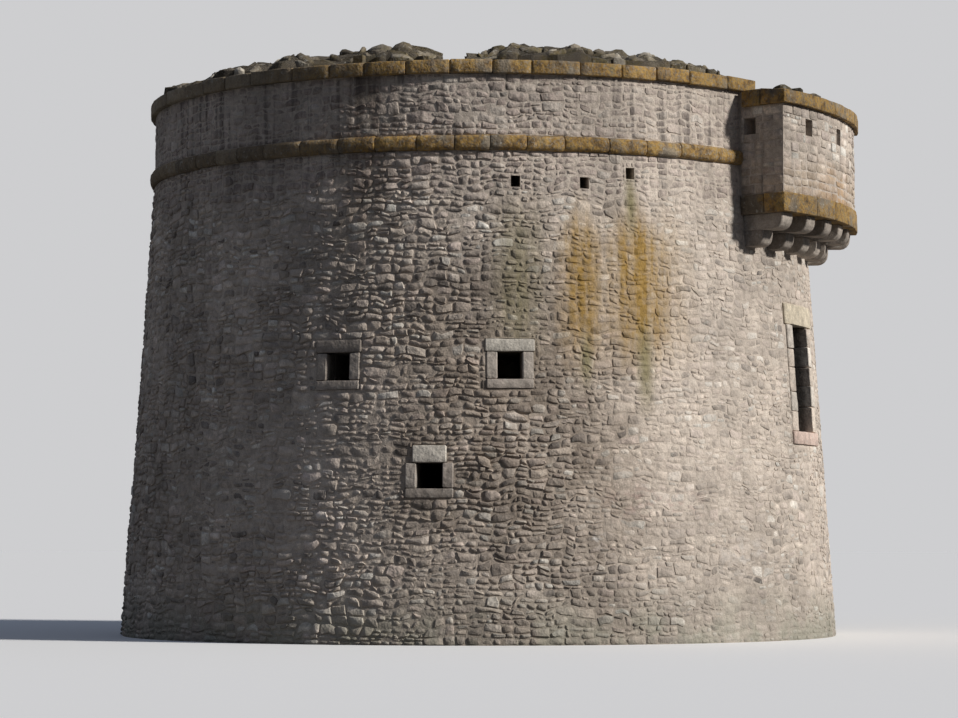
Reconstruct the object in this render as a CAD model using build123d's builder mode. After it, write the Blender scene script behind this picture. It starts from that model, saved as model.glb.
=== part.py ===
from build123d import *
import os
from math import acos, cos, degrees, radians, sin, sqrt

# A round coastal gun tower of rubble masonry: two rooms one above the other, a vaulted gun
# platform behind a thick parapet, and a corbelled gallery over the first-floor doorway.
# Millimetres. The origin is on the ground at the tower's axis and +Z is up.
# A bearing is an angle round the axis in degrees, from the doorway at -Y towards +X.

# The wall outside leans in evenly from the ground to the string course
base_radius = 6100
batter = 1 / 15
room_radius = 3600
ledge_width = 150

# Levels, from the ground up
ground_floor_depth = 200
ledge_height = 2950
joist_depth = 300
board_depth = 50
sill_rise = 100
door_height = 1750
vault_clearance = 150
vault_rise = 1250
vault_crown_depth = 500
paving_depth = 300
string_course_rise = 300
string_course_height = 240
parapet_height = 1500
coping_height = 260
capping_rise = 400

# Doorway, and the dressed stones round it
door_width = 800
door_jamb_width = 250
door_stone_depth = 350
door_lintel_height = 350
door_lintel_bearing = 75
door_sill_height = 220
door_sill_bearing = 25
door_sill_depth = 450
dressed_proud = 12

# Timber floor
joist_width = 110
joist_spacing = 420
floor_clearance = 10

# Loops: small openings that widen inwards through the wall
upper_loop_bearings = (62.5, 89.3)
upper_loop_rise = 780
upper_loop_width = 380
upper_loop_height = 430
upper_lintel_height = 200
upper_lintel_bearing = 200
lower_loop_bearing = 74.6
lower_loop_drop = 160
lower_loop_width = 400
lower_loop_height = 390
lower_lintel_height = 270
lower_lintel_bearing = 70
loop_jamb_width = 180
loop_sill_height = 150
loop_stone_depth = 300
throat_width = 700
throat_height = 720

# Drains of the gun platform: bearing, and how far the outlet lies below the platform
drain_bearings = (42.2, 50.2, 61.4)
drain_falls = (90, 270, 270)
drain_width = 150
drain_height = 180

# Gun platform and parapet
parapet_thickness = 1500
string_course_projection = 95
string_course_tail = 60
string_course_round = 80
coping_overhang = 90
coping_width = 690
coping_weathering = 50
capping_worn_edge = 90
step_width = 690
step_height = 400
pivot_radius = 450
pivot_height = 250
stone_joint = 10

# The stretch of parapet capping that is lost, as bearings
lost_capping_start = 285.6
lost_capping_end = 291.8

# Gallery on corbels over the doorway
gallery_half_angle = 18.4
gallery_projection = 870
gallery_wall = 350
gallery_floor_drop = 500
gallery_band_height = 310
gallery_band_projection = 60
corbel_count = 6
corbel_width = 300
corbel_height = 260
corbel_tail = 450
corbel_round = 170
upper_corbel_setback = 60
lower_corbel_setback = 440
gallery_loop_width = 230
gallery_loop_height = 270
gallery_loop_drop = 180
gallery_loop_spacing = 11.4

# Arcs of cut stone in the rings
string_course_arcs = 36
coping_arcs = 24
step_arcs = 24
gallery_coping_stones = 5

# Levels and radii that follow
first_floor = ledge_height + joist_depth + board_depth
door_sill = first_floor + sill_rise
door_head = door_sill + door_height
vault_spring = door_head + vault_clearance
vault_crown = vault_spring + vault_rise
vault_top = vault_crown + vault_crown_depth
platform = vault_top + paving_depth
string_course = platform + string_course_rise
parapet_foot = string_course + string_course_height
coping = platform + parapet_height
coping_top = coping + coping_height
lower_room_radius = room_radius - ledge_width
parapet_radius = base_radius - batter * string_course
platform_radius = parapet_radius - parapet_thickness
coping_radius = parapet_radius + coping_overhang
coping_back = coping_radius - coping_width
gallery_radius = parapet_radius + gallery_projection
gallery_inner_radius = gallery_radius - gallery_wall
gallery_floor = platform - gallery_floor_drop
gallery_wall_foot = gallery_floor + gallery_band_height
gallery_coping = coping - coping_height
cheek_angle = degrees(gallery_wall / parapet_radius)
recess_half_angle = gallery_half_angle - cheek_angle
cheek_middle = gallery_half_angle - cheek_angle / 2
corbel_spacing = 2 * cheek_middle / (corbel_count - 1)
gallery_loop_head = gallery_coping - gallery_loop_drop
gallery_loop_middle = gallery_loop_head - gallery_loop_height / 2
reach = base_radius + gallery_projection


def wall_radius(height):
    """Radius of the wall's battered outside face at a height."""
    return base_radius - batter * height


def radial_plane(bearing):
    """Upright plane through the axis: x runs outwards at the bearing and y runs up."""
    a = radians(bearing)
    return Plane(origin=(0, 0, 0), x_dir=(sin(a), -cos(a), 0), z_dir=(-cos(a), -sin(a), 0))


def facing_plane(bearing, distance, height):
    """Upright plane across the bearing, facing outwards: x runs to the right and y runs up."""
    a = radians(bearing)
    centre = (distance * sin(a), -distance * cos(a), height)
    return Plane(origin=centre, x_dir=(cos(a), sin(a), 0), z_dir=(sin(a), -cos(a), 0))


def sector(outline, start, end):
    """Solid with the outline (radius, height) as its section, from one bearing to another."""
    with BuildPart() as piece:
        with BuildSketch(radial_plane(start)):
            with BuildLine():
                Polyline(*outline, close=True)
            make_face()
        revolve(axis=Axis.Z, revolution_arc=end - start)
    return piece


def stone_arcs(outline, start, end, count):
    """Equal arcs of cut stone between two bearings, parted by open joints."""
    radius = max(point[0] for point in outline)
    gap = degrees(stone_joint / radius)
    pitch = (end - start) / count
    with BuildPart() as stones:
        for i in range(count):
            first = start + i * pitch + gap / 2
            with BuildSketch(radial_plane(first)):
                with BuildLine():
                    Polyline(*outline, close=True)
                make_face()
            revolve(axis=Axis.Z, revolution_arc=pitch - gap)
    return stones


def upright_block(bearing, back, foot, head, left, right):
    """Block from the radius back outwards past the wall, between two heights and two sides."""
    with BuildPart() as block:
        with BuildSketch(facing_plane(bearing, back, foot)):
            with BuildLine():
                Polyline(
                    (left, 0),
                    (right, 0),
                    (right, head - foot),
                    (left, head - foot),
                    close=True,
                )
            make_face()
        extrude(amount=reach - back)
    return block


def joined(blocks):
    """One part made of several blocks."""
    with BuildPart() as whole:
        for block in blocks:
            add(block.part)
    return whole


def cut(piece, cutters):
    """The piece with every cutter taken out of it."""
    with BuildPart() as trimmed:
        add(piece.part)
        for cutter in cutters:
            add(cutter.part, mode=Mode.SUBTRACT)
    return trimmed


def dressed(blocks):
    """Blocks trimmed to a face that stands a little proud of the battered wall."""
    with BuildPart() as stones:
        for block in blocks:
            add(block.part)
        add(dressed_face.part, mode=Mode.INTERSECT)
    return stones


def keep(piece, name):
    piece.part.label = name
    export_step(piece.part, f"parts/{name}.step")


os.makedirs("parts", exist_ok=True)

# Envelope of the dressed stones on the battered wall
dressed_face = sector(
    [
        (0, 0),
        (wall_radius(0) + dressed_proud, 0),
        (wall_radius(string_course) + dressed_proud, string_course),
        (0, string_course),
    ],
    0,
    360,
)

# Solid tower inside the wall's outside face, for pieces that end against it
wall_envelope = sector(
    [
        (0, 0),
        (wall_radius(0), 0),
        (wall_radius(string_course), string_course),
        (0, string_course),
    ],
    0,
    360,
)


# Loops in the battered wall
def loop_stones(bearing, sill, width, height, lintel_height, lintel_bearing):
    """Blanks of one loop's surround, as (lintel, jambs, sill), and the void that it frames."""
    head = sill + height
    back = wall_radius(sill + height / 2) - loop_stone_depth
    half = width / 2
    side = half + loop_jamb_width
    lintel_half = half + lintel_bearing
    lintel = upright_block(bearing, back, head, head + lintel_height, -lintel_half, lintel_half)
    jambs = [
        upright_block(bearing, back, sill, head, -side, -half),
        upright_block(bearing, back, sill, head, half, side),
    ]
    sill_stone = upright_block(bearing, back, sill - loop_sill_height, sill, -side, side)
    mouth = upright_block(bearing, back, sill, head, -half, half)
    inner = room_radius - 2 * ledge_width
    with BuildPart() as throat:
        with BuildSketch(facing_plane(bearing, back, head - height / 2)):
            Rectangle(width, height)
        with BuildSketch(facing_plane(bearing, inner, head - throat_height / 2)):
            Rectangle(throat_width, throat_height)
        loft()
    return lintel, jambs, sill_stone, [mouth, throat]


upper_sill = first_floor + upper_loop_rise
lower_sill = ledge_height - lower_loop_drop - lower_loop_height
upper_loops = {}
for side in (-1, 1):
    for bearing in upper_loop_bearings:
        upper_loops[side * bearing] = loop_stones(
            side * bearing,
            upper_sill,
            upper_loop_width,
            upper_loop_height,
            upper_lintel_height,
            upper_lintel_bearing,
        )
lower_loops = {}
for side in (-1, 1):
    lower_loops[side * lower_loop_bearing] = loop_stones(
        side * lower_loop_bearing,
        lower_sill,
        lower_loop_width,
        lower_loop_height,
        lower_lintel_height,
        lower_lintel_bearing,
    )
all_loops = [*upper_loops.values(), *lower_loops.values()]
loop_lintels = dressed([lintel for lintel, _, _, _ in all_loops])
loop_jambs = dressed([jamb for _, jambs, _, _ in all_loops for jamb in jambs])
loop_sills = dressed([sill for _, _, sill, _ in all_loops])
keep(loop_lintels, "loop_lintels")
keep(loop_jambs, "loop_jambs")
keep(loop_sills, "loop_sills")


def loop_cutters(loops, start, end):
    """Everything that the loops between two bearings take out of the wall."""
    cutters = []
    for bearing, (lintel, jambs, sill, void) in loops.items():
        if start <= bearing <= end:
            cutters += [lintel, *jambs, sill, *void]
    return cutters


# Ground floor, and the lower wall in six bays
ground_floor = sector(
    [(0, 0), (lower_room_radius, 0), (lower_room_radius, ground_floor_depth), (0, ground_floor_depth)],
    0,
    360,
)
keep(ground_floor, "ground_floor")

lower_bay_names = ("front_right", "right", "back_right", "back_left", "left", "front_left")
lower_bay_angle = 360 / len(lower_bay_names)
lower_section = [
    (lower_room_radius, 0),
    (wall_radius(0), 0),
    (wall_radius(ledge_height), ledge_height),
    (lower_room_radius, ledge_height),
]
for i, name in enumerate(lower_bay_names):
    start = i * lower_bay_angle if i < 3 else i * lower_bay_angle - 360
    end = start + lower_bay_angle
    lower_wall = cut(sector(lower_section, start, end), loop_cutters(lower_loops, start, end))
    keep(lower_wall, f"lower_wall_{name}")

# Timber floor of the upper room: joists on the wall's ledge, and boards over them
floor_radius = room_radius - floor_clearance
joist_rows = int((lower_room_radius - joist_width) / joist_spacing)
with BuildPart() as floor_joists:
    with BuildSketch(Plane.XY.offset(ledge_height)):
        with Locations(*[(0, k * joist_spacing) for k in range(-joist_rows, joist_rows + 1)]):
            Rectangle(2 * room_radius, joist_width)
        Circle(floor_radius, mode=Mode.INTERSECT)
    extrude(amount=joist_depth)
keep(floor_joists, "floor_joists")

with BuildPart() as floor_boards:
    with BuildSketch(Plane.XY.offset(ledge_height + joist_depth)):
        Circle(floor_radius)
    extrude(amount=board_depth)
keep(floor_boards, "floor_boards")

# Dressed stones round the doorway
door_half = door_width / 2
jamb_side = door_half + door_jamb_width
lintel_side = jamb_side + door_lintel_bearing
sill_side = jamb_side + door_sill_bearing
door_back = wall_radius(door_sill + door_height / 2) - door_stone_depth
sill_back = wall_radius(door_sill) - door_sill_depth
door_lintel_blank = upright_block(
    0, door_back, door_head, door_head + door_lintel_height, -lintel_side, lintel_side
)
door_jamb_blanks = [
    upright_block(0, door_back, door_sill, door_head, -jamb_side, -door_half),
    upright_block(0, door_back, door_sill, door_head, door_half, jamb_side),
]
door_sill_blank = upright_block(
    0, sill_back, door_sill - door_sill_height, door_sill, -sill_side, sill_side
)
keep(dressed([door_lintel_blank]), "door_lintel")
keep(dressed(door_jamb_blanks), "door_jambs")
keep(dressed([door_sill_blank]), "door_sill")
door_stones = [door_lintel_blank, *door_jamb_blanks, door_sill_blank]

# The doorway's passage, from the boards' level to the door's head
passage = upright_block(
    0, lower_room_radius - ledge_width, first_floor, door_head, -door_half, door_half
)
passage_and_base = upright_block(
    0, lower_room_radius - ledge_width, ledge_height, door_head, -door_half, door_half
)


# Corbels: two stones each, the lower one set back
def corbel_bearings():
    return [-cheek_middle + i * corbel_spacing for i in range(corbel_count)]


def corbel_stones(foot, setback):
    """One course of corbels, tailed into the wall, each nose rounded below."""
    nose = gallery_radius - setback
    tail = wall_radius(foot) - corbel_tail
    with BuildPart() as stones:
        for bearing in corbel_bearings():
            with BuildSketch(radial_plane(bearing)):
                with BuildLine():
                    Polyline(
                        (nose - corbel_round, foot),
                        (tail, foot),
                        (tail, foot + corbel_height),
                        (nose, foot + corbel_height),
                        (nose, foot + corbel_round),
                    )
                    RadiusArc((nose, foot + corbel_round), (nose - corbel_round, foot), corbel_round)
                make_face()
            extrude(amount=corbel_width / 2, both=True)
    return stones


upper_corbels = corbel_stones(gallery_floor - corbel_height, upper_corbel_setback)
lower_corbels = corbel_stones(gallery_floor - 2 * corbel_height, lower_corbel_setback)
keep(upper_corbels, "upper_corbels")
keep(lower_corbels, "lower_corbels")
corbels = [upper_corbels, lower_corbels]

# Upper wall: three bays each side of the doorway bay, the first two parted at a loop
first_split = upper_loop_bearings[0]
second_split = (first_split + 180) / 2
side_edges = (gallery_half_angle, first_split, second_split, 180)
side_names = ("front", "middle", "back")
lower_lintels = [lintel for lintel, _, _, _ in lower_loops.values()]
upper_section = [
    (room_radius, ledge_height),
    (wall_radius(ledge_height), ledge_height),
    (wall_radius(vault_top), vault_top),
    (room_radius, vault_top),
]
for name, low, high in zip(side_names, side_edges, side_edges[1:]):
    for hand, start, end in (("right", low, high), ("left", -high, -low)):
        cutters = loop_cutters(upper_loops, start, end) + lower_lintels
        if name == "front":
            cutters += corbels
        keep(cut(sector(upper_section, start, end), cutters), f"upper_wall_{hand}_{name}")

# Doorway bay: beside, under and over the doorway
beside_section = [
    (room_radius, ledge_height),
    (wall_radius(ledge_height), ledge_height),
    (wall_radius(door_head), door_head),
    (room_radius, door_head),
]
for hand, start, end in (("right", 0, gallery_half_angle), ("left", -gallery_half_angle, 0)):
    beside = cut(sector(beside_section, start, end), [passage_and_base, *door_stones])
    keep(beside, f"wall_beside_doorway_{hand}")

under_section = [
    (room_radius, ledge_height),
    (wall_radius(ledge_height), ledge_height),
    (wall_radius(door_sill), door_sill),
    (room_radius, door_sill),
]
with BuildPart() as wall_under_doorway:
    add(sector(under_section, -gallery_half_angle, gallery_half_angle).part)
    add(passage_and_base.part, mode=Mode.INTERSECT)
    add(passage.part, mode=Mode.SUBTRACT)
    add(door_sill_blank.part, mode=Mode.SUBTRACT)
keep(wall_under_doorway, "wall_under_doorway")

over_section = [
    (room_radius, door_head),
    (wall_radius(door_head), door_head),
    (wall_radius(vault_top), vault_top),
    (room_radius, vault_top),
]
wall_over_doorway = cut(
    sector(over_section, -gallery_half_angle, gallery_half_angle), [door_lintel_blank, *corbels]
)
keep(wall_over_doorway, "wall_over_doorway")

# Vault under the gun platform: a shallow dome inside, flat on top
dome_radius = (room_radius**2 + vault_rise**2) / (2 * vault_rise)
dome_centre = vault_crown - dome_radius
dome_side = sqrt(dome_radius**2 - (room_radius / 2) ** 2)
with BuildPart() as vault:
    with BuildSketch(Plane.XZ):
        with BuildLine():
            Polyline((0, vault_crown), (0, vault_top), (room_radius, vault_top), (room_radius, vault_spring))
            ThreePointArc(
                (room_radius, vault_spring),
                (room_radius / 2, dome_centre + dome_side),
                (0, vault_crown),
            )
        make_face()
    revolve(axis=Axis.Z)
keep(vault, "vault")

# Paving of the gun platform and of the recess behind the gallery
with BuildPart() as platform_paving:
    with BuildSketch(Plane.XY.offset(vault_top)):
        Circle(platform_radius)
    extrude(amount=paving_depth)
keep(platform_paving, "platform_paving")

recess_section = [
    (platform_radius, vault_top),
    (wall_radius(vault_top), vault_top),
    (wall_radius(platform), platform),
    (platform_radius, platform),
]
recess_paving = sector(recess_section, -recess_half_angle, recess_half_angle)
keep(recess_paving, "recess_paving")


# Drains fall outwards through the parapet from the platform's edge
def drain_cutter(bearing, fall):
    inner = platform_radius - 2 * drain_width
    outer = parapet_radius + 2 * drain_width
    slope = fall / (parapet_radius - platform_radius)
    drop = slope * (outer - platform_radius)
    with BuildPart() as channel:
        with BuildSketch(radial_plane(bearing)):
            with BuildLine():
                Polyline(
                    (inner, platform),
                    (platform_radius, platform),
                    (outer, platform - drop),
                    (outer, platform - drop + drain_height),
                    (platform_radius, platform + drain_height),
                    (inner, platform + drain_height),
                    close=True,
                )
            make_face()
        extrude(amount=drain_width / 2, both=True)
    return channel


def step_drain_cutter(bearing):
    """Gap at the foot of the firing step, in line with a drain."""
    with BuildPart() as gap:
        with BuildSketch(radial_plane(bearing)):
            with BuildLine():
                Polyline(
                    (platform_radius - step_width - drain_width, platform),
                    (platform_radius + drain_width, platform),
                    (platform_radius + drain_width, platform + drain_height),
                    (platform_radius - step_width - drain_width, platform + drain_height),
                    close=True,
                )
            make_face()
        extrude(amount=drain_width / 2, both=True)
    return gap


drains = [
    drain_cutter(side * bearing, fall)
    for side in (-1, 1)
    for bearing, fall in zip(drain_bearings, drain_falls)
]
step_drains = [step_drain_cutter(side * bearing) for side in (-1, 1) for bearing in drain_bearings]

# Parapet in six bays, rebated for the string course
parapet_section = [
    (platform_radius, vault_top),
    (wall_radius(vault_top), vault_top),
    (wall_radius(string_course), string_course),
    (parapet_radius - string_course_tail, string_course),
    (parapet_radius - string_course_tail, parapet_foot),
    (parapet_radius, parapet_foot),
    (parapet_radius, coping),
    (platform_radius, coping),
]
parapet_bay_angle = (180 - gallery_half_angle) / len(side_names)
for i, name in enumerate(side_names):
    low = gallery_half_angle + i * parapet_bay_angle
    high = low + parapet_bay_angle
    for hand, start, end in (("right", low, high), ("left", -high, -low)):
        cutters = drains if name == "front" else []
        keep(cut(sector(parapet_section, start, end), cutters), f"parapet_{hand}_{name}")

# String course: a band of cut stone with a rounded nose
string_course_nose = parapet_radius + string_course_projection
with BuildPart() as string_course_ring:
    start = gallery_half_angle
    pitch = (360 - 2 * gallery_half_angle) / string_course_arcs
    gap = degrees(stone_joint / string_course_nose)
    for i in range(string_course_arcs):
        with BuildSketch(radial_plane(start + i * pitch + gap / 2)):
            with BuildLine():
                Polyline(
                    (string_course_nose, string_course + string_course_round),
                    (string_course_nose, parapet_foot - string_course_round),
                )
                RadiusArc(
                    (string_course_nose, parapet_foot - string_course_round),
                    (string_course_nose - string_course_round, parapet_foot),
                    -string_course_round,
                )
                Polyline(
                    (string_course_nose - string_course_round, parapet_foot),
                    (parapet_radius - string_course_tail, parapet_foot),
                    (parapet_radius - string_course_tail, string_course),
                    (string_course_nose - string_course_round, string_course),
                )
                RadiusArc(
                    (string_course_nose - string_course_round, string_course),
                    (string_course_nose, string_course + string_course_round),
                    -string_course_round,
                )
            make_face()
        revolve(axis=Axis.Z, revolution_arc=pitch - gap)
keep(string_course_ring, "string_course")

# Coping over the parapet's outer edge, weathered on top
ring_start = recess_half_angle
ring_end = 360 - recess_half_angle
coping_section = [
    (coping_back, coping),
    (coping_radius, coping),
    (coping_radius, coping_top - coping_weathering),
    (coping_back, coping_top),
]
keep(stone_arcs(coping_section, ring_start, ring_end, coping_arcs), "coping")

# Rough capping that slopes up behind the coping, with one stretch lost
capping_section = [
    (platform_radius, coping),
    (coping_back, coping),
    (coping_back, coping_top),
    (platform_radius + capping_worn_edge, coping_top + capping_rise),
    (platform_radius, coping_top + capping_rise - capping_worn_edge),
]
capping_pitch = (ring_end - ring_start) / coping_arcs
long_run = round((lost_capping_start - ring_start) / capping_pitch)
short_run = max(1, round((ring_end - lost_capping_end) / capping_pitch))
parapet_capping = joined(
    [
        stone_arcs(capping_section, ring_start, lost_capping_start, long_run),
        stone_arcs(capping_section, lost_capping_end, ring_end, short_run),
    ]
)
keep(parapet_capping, "parapet_capping")

# Firing step round the foot of the parapet
step_section = [
    (platform_radius - step_width, platform),
    (platform_radius, platform),
    (platform_radius, platform + step_height),
    (platform_radius - step_width, platform + step_height),
]
firing_step = cut(stone_arcs(step_section, gallery_half_angle, 360 - gallery_half_angle, step_arcs), step_drains)
keep(firing_step, "firing_step")

# Pivot stone of the gun
with BuildPart() as pivot_stone:
    with BuildSketch(Plane.XY.offset(platform)):
        Circle(pivot_radius)
    extrude(amount=pivot_height)
keep(pivot_stone, "pivot_stone")


# Gallery: a curved front wall between two cheeks that run back through the parapet
def gallery_front_loops():
    cutters = []
    for k in (-1, 0, 1):
        with BuildPart() as opening:
            with BuildSketch(facing_plane(k * gallery_loop_spacing, parapet_radius, gallery_loop_middle)):
                Rectangle(gallery_loop_width, gallery_loop_height)
            extrude(amount=reach - parapet_radius)
        cutters.append(opening)
    return cutters


front_section = [
    (gallery_inner_radius, gallery_wall_foot),
    (gallery_radius, gallery_wall_foot),
    (gallery_radius, gallery_coping),
    (gallery_inner_radius, gallery_coping),
]
gallery_front = cut(sector(front_section, -gallery_half_angle, gallery_half_angle), gallery_front_loops())
keep(gallery_front, "gallery_front")

cheek_section = [
    (platform_radius, vault_top),
    (wall_radius(vault_top), vault_top),
    (wall_radius(gallery_wall_foot), gallery_wall_foot),
    (gallery_inner_radius, gallery_wall_foot),
    (gallery_inner_radius, gallery_coping),
    (coping_radius + stone_joint, gallery_coping),
    (coping_radius + stone_joint, coping),
    (platform_radius, coping),
]
side_loop_radius = (parapet_radius + gallery_inner_radius) / 2 - gallery_loop_width / 5
for hand, side in (("right", 1), ("left", -1)):
    with BuildPart() as side_loop:
        with BuildSketch(radial_plane(side * cheek_middle)):
            with Locations((side_loop_radius, gallery_loop_middle)):
                Rectangle(gallery_loop_width, gallery_loop_height)
        extrude(amount=gallery_wall, both=True)
    start = recess_half_angle if side > 0 else -gallery_half_angle
    cheek = cut(sector(cheek_section, start, start + cheek_angle), [side_loop])
    keep(cheek, f"gallery_cheek_{hand}")

# Band at the gallery's foot: front stones jointed over the corbels, and two side stones
band_reach = gallery_radius + gallery_band_projection
band_angle = gallery_half_angle + degrees(gallery_band_projection / gallery_radius)
front_band_section = [
    (gallery_inner_radius, gallery_floor),
    (band_reach, gallery_floor),
    (band_reach, gallery_wall_foot),
    (gallery_inner_radius, gallery_wall_foot),
]
side_band_section = [
    (platform_radius, gallery_floor),
    (gallery_inner_radius - stone_joint, gallery_floor),
    (gallery_inner_radius - stone_joint, gallery_wall_foot),
    (platform_radius, gallery_wall_foot),
]
band_joints = [-band_angle, *corbel_bearings()[1:-1], band_angle]
gallery_band = joined(
    [
        *[stone_arcs(front_band_section, a, b, 1) for a, b in zip(band_joints, band_joints[1:])],
        cut(sector(side_band_section, recess_half_angle, band_angle), [wall_envelope]),
        cut(sector(side_band_section, -band_angle, -recess_half_angle), [wall_envelope]),
    ]
)
keep(gallery_band, "gallery_band")

# Coping of the gallery: front stones and two side stones, one course below the parapet's coping
gallery_coping_angle = gallery_half_angle + degrees(coping_overhang / gallery_radius)
front_coping_back = gallery_inner_radius - coping_overhang / 2
front_coping_section = [
    (front_coping_back, gallery_coping),
    (gallery_radius + coping_overhang, gallery_coping),
    (gallery_radius + coping_overhang, coping - coping_weathering),
    (front_coping_back, coping),
]
side_coping_section = [
    (coping_radius + 2 * stone_joint, gallery_coping),
    (front_coping_back - stone_joint, gallery_coping),
    (front_coping_back - stone_joint, coping),
    (coping_radius + 2 * stone_joint, coping),
]
gallery_coping_ring = joined(
    [
        stone_arcs(front_coping_section, -gallery_coping_angle, gallery_coping_angle, gallery_coping_stones),
        sector(side_coping_section, recess_half_angle, gallery_coping_angle),
        sector(side_coping_section, -gallery_coping_angle, -recess_half_angle),
    ]
)
keep(gallery_coping_ring, "gallery_coping")
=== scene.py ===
import random
from math import atan2, ceil, cos, degrees, hypot, pi, radians, sin, sqrt, tau

import bmesh
import bpy
from bpy.types import NodeSocket
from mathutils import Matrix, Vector
from mathutils.noise import noise, noise_vector, seed_set


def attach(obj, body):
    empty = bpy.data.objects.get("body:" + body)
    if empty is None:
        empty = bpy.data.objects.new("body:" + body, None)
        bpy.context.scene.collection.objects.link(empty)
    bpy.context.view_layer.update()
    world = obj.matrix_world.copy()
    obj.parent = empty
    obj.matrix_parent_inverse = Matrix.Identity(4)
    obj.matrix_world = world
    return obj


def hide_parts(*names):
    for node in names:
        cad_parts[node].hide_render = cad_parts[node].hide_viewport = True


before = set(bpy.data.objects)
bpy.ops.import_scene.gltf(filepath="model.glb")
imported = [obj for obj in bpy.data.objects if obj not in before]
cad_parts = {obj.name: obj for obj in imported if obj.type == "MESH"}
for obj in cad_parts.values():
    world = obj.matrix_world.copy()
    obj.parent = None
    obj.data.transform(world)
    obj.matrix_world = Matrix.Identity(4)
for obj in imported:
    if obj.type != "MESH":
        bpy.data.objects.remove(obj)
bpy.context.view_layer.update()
seed_set(7)  # the same stones at every run
dice = random.Random(41)
print("frame loaded")

# The tower's main sizes in metres, as in the solids; bearings are degrees from the doorway towards +X
tower = {
    "baseRadius": 6.1, "batter": 1 / 15,
    "meanRadius": 5.85,  # where distances along the wall are measured
    "ledge": 2.95, "boards": 3.25, "boardsTop": 3.3, "doorSill": 3.4, "doorHead": 5.15, "wallHead": 7.05,
    "platform": 7.35,
    "string": (5.53, 5.685, 7.65, 7.89),  # radii of tail and nose, heights of foot and head
    "coping": (4.99, 5.68, 8.85, 9.11),
    "parapetRadius": 5.59, "wellRadius": 4.09, "stepRadius": 3.4,
    "stepSplit": 7.53, "stepHead": 7.75, "galleryHalf": 18.4, "recessHalf": 14.8126, "cheekMiddle": 16.6063,
    "galleryRadius": 6.46, "galleryInside": 6.11, "galleryFloor": 6.85, "galleryFoot": 7.16, "galleryCoping": 8.59,
}
meanRadius, well, platform = tower["meanRadius"], tower["wellRadius"], tower["platform"]
_, copingRadius, copingFoot, _ = tower["coping"]
_, _, stringFoot, stringHead = tower["string"]
galleryHalf, recessHalf = tower["galleryHalf"], tower["recessHalf"]
around = (galleryHalf, 360 - galleryHalf)  # from one side of the gallery to the other
aroundTop = (recessHalf, 360 - recessHalf)
calmBearings = (38, 60)  # the wall is flattest up to the first and fully rough from the second
endless = 99  # further than any stone lies


def wallRadius(z):
    return tower["baseRadius"] - tower["batter"] * z


def atBearing(angle, radius, z):  # angle in radians from the doorway
    return radius * sin(angle), -radius * cos(angle), z


def arc(bearing, radius=meanRadius):  # distance along a wall for a bearing in degrees
    return radians(bearing) * radius


def span(low, high, radius=meanRadius):
    return arc(low, radius), arc(high, radius)


# Faces that stones are laid on; each turns along, up and out into a point
def roundFace(radius, turn=1, measured=meanRadius):
    radiusAt = radius if callable(radius) else lambda z: radius
    return lambda s, z, h: atBearing(s / measured, radiusAt(z) + turn * h, z)


def radialFace(bearing, turn):
    x, y, _ = atBearing(radians(bearing), 1, 0)
    return lambda s, z, h: (s * x - turn * h * y, s * y + turn * h * x, z)


def levelFace(height, measured):
    return lambda s, r, h: atBearing(s / measured, r, height + h)


# A batch gathers points, with their stone's tone and hue and how far they are from the painted shade at its edges,
# and faces
def newBatch():
    return {"verts": [], "faces": [], "tones": []}


batch = newBatch()  # each piece empties it when it is finished


def addPoint(batch, spot, tone, hue, clearOfJointShade):
    batch["verts"].append(spot)
    batch["tones"] += (tone, hue, clearOfJointShade, 1)


def addSides(batch, start, count, rings, closed=False):  # faces between rings of points
    for k in range(rings if closed else rings - 1):
        low, high = start + k * count, start + (k + 1) % rings * count
        for i in range(count):
            j = (i + 1) % count
            batch["faces"].append((low + i, low + j, high + j, high + i))


def addTube(batch, start, count, rings):  # sides and both ends
    addSides(batch, start, count, rings)
    for first, turn in ((start, -1), (start + (rings - 1) * count, 1)):
        batch["faces"].append(tuple(range(first, first + count))[::turn])


# Outlines and profiles: corners cut back, with evenly spaced points between them
def middleOf(points):
    return [sum(values) / len(points) for values in zip(*points)]


def along(start, end, share):
    return start[0] + (end[0] - start[0]) * share, start[1] + (end[1] - start[1]) * share


def farApart(start, end):
    return hypot(end[0] - start[0], end[1] - start[1])


def cutCorner(corners, i, cut):
    ends = []
    for other in (corners[i - 1], corners[(i + 1) % len(corners)]):
        long = farApart(corners[i], other)
        ends.append(along(corners[i], other, min(cut, 0.4 * long) / long))
    return ends


def bendOf(ends, corner, pull):  # the point between two cut ends, pulled towards the corner
    return tuple((a + b) * (1 - pull) / 2 + c * pull for a, b, c in zip(*ends, corner))


def joined(cuts, step):
    points = []
    for i, ends in enumerate(cuts):
        start, end = ends[-1], cuts[(i + 1) % len(cuts)][0]
        steps = int(farApart(start, end) / step) + 1
        points += [*ends, *(along(start, end, k / steps) for k in range(1, steps))]
    return points


# Rough stones: blocks in wandering courses, each with its own face
def shares(length, low, high):  # uneven lengths that add up
    count = max(1, round(length * 2 / (low + high)))
    parts = [dice.uniform(low, high) for _ in range(count)]
    return [part * length / sum(parts) for part in parts]


def splitBlock(block, style):
    left, right, foot, head = block
    wide, tall = right - left, head - foot
    low = tall > 2.2 * style["thinnest"] and dice.random() < style["splitChance"]
    if tall > style["tallest"] or low:
        cut = foot + tall * dice.uniform(0.38, 0.62)
        parts = ((left, right, foot, cut), (left, right, cut, head))
    elif wide > style["longest"] or wide > style["slimmest"] * tall:
        cut = left + wide * dice.uniform(0.34, 0.66)
        parts = ((left, cut, foot, head), (cut, right, foot, head))
    else:
        return [block]
    return [stone for part in parts for stone in splitBlock(part, style)]


def blocksOf(edges, style, ring):
    left, right, z, head = edges
    blocks = []
    for tall in shares(head - z, *style["course"]):
        s = left + (dice.uniform(0, 1) if ring else 0)
        for wide in shares(right - left, *style["block"]):
            blocks += splitBlock((s, s + wide, z, z + tall), style)
            s += wide
        z += tall
    return blocks


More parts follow.
